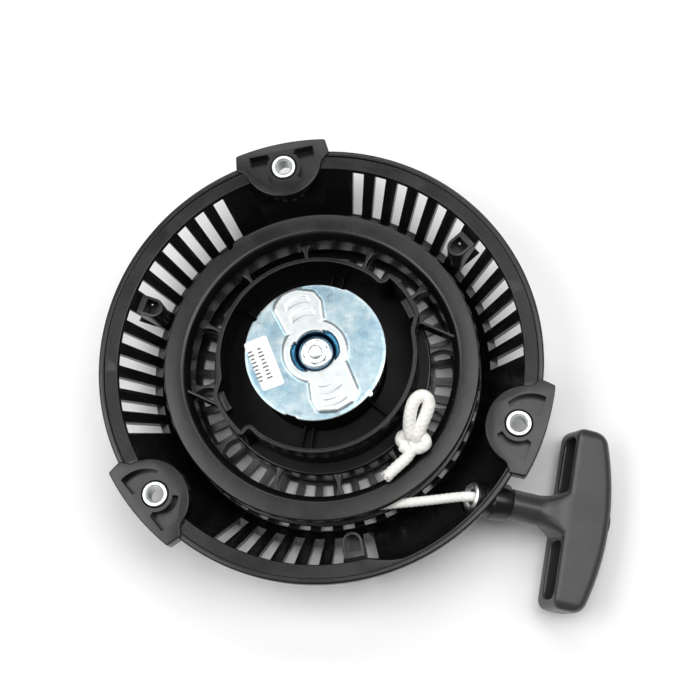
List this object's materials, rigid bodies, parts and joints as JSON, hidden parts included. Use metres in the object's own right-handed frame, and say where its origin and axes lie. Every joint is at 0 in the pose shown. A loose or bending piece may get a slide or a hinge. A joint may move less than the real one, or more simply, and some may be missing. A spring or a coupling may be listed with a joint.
{
  "type": "recoil starter",
  "caption": "Pull-cord recoil starter for a small engine: slotted conical case with bolt ears, spring-wound rope reel, plate-guided ratchets and a T-shaped pull handle.",
  "frame": {"origin": "centre of the closed outer face, on the reel's axis", "axes": "+Z along the reel's axis towards the engine side, +X the way the rope and handle are pulled, +Y completes the right-handed frame"},
  "size_m": [0.2359, 0.2048, 0.0508],
  "materials": {
    "case": "black moulded plastic, fine texture",
    "reel": "black moulded plastic",
    "handle": "dark grey plastic, satin",
    "zinc": "bright zinc plate",
    "steel": "bare steel",
    "rope": "white braided cord",
    "label": "plain white sticker"
  },
  "bodies": {
    "case": {"starter_case": "case", "ear_bush_a": "zinc", "ear_bush_b": "zinc", "ear_bush_c": "zinc", "rope_eyelet": "zinc", "post_insert": "steel", "thrust_washer": "steel", "centre_stud": "zinc", "centre_nut": "zinc", "recoil_spring": "steel", "rope_span": "rope"},
    "reel": {"reel": "reel", "rope_wound": "rope", "reel_knot": "rope", "ratchet_pin_a": "steel", "ratchet_pin_b": "steel"},
    "guide": {"ratchet_guide": "zinc", "guide_label": "label", "friction_spring": "steel"},
    "ratchet_a": {"ratchet_a": "steel", "ratchet_spring_a": "steel"},
    "ratchet_b": {"ratchet_b": "steel", "ratchet_spring_b": "steel"},
    "handle": {"handle_grip": "handle", "handle_cap": "handle", "handle_washer": "steel", "handle_knot": "rope", "handle_rope": "rope"}
  },
  "joints": [
    {"name": "reel_spin", "type": "hinge", "parent": "case", "child": "reel", "pos_m": [0, 0, 0.02], "axis": [0, 0, 1], "range_deg": [0, 1080], "stiffness_Nm_per_rad": 0.02},
    {"name": "guide_lag", "type": "hinge", "parent": "reel", "child": "guide", "pos_m": [0, 0, 0.045], "axis": [0, 0, 1], "range_deg": [-38, 0], "stiffness_Nm_per_rad": 0.01},
    {"name": "ratchet_a_swing", "type": "hinge", "parent": "reel", "child": "ratchet_a", "pos_m": [0.01247, -0.01434, 0.041], "axis": [0, 0, 1], "range_deg": [-38, 0]},
    {"name": "ratchet_b_swing", "type": "hinge", "parent": "reel", "child": "ratchet_b", "pos_m": [-0.01247, 0.01434, 0.041], "axis": [0, 0, 1], "range_deg": [-38, 0]},
    {"name": "handle_pull", "type": "slide", "parent": "case", "child": "handle", "axis": [1, 0, 0], "range_m": [0, 1.25]}
  ],
  "couplings": [
    {"joint": "handle_pull", "follows": "reel_spin", "m_per_rad": 0.066},
    {"joint": "ratchet_a_swing", "follows": "guide_lag", "ratio": 1},
    {"joint": "ratchet_b_swing", "follows": "guide_lag", "ratio": 1}
  ]
}
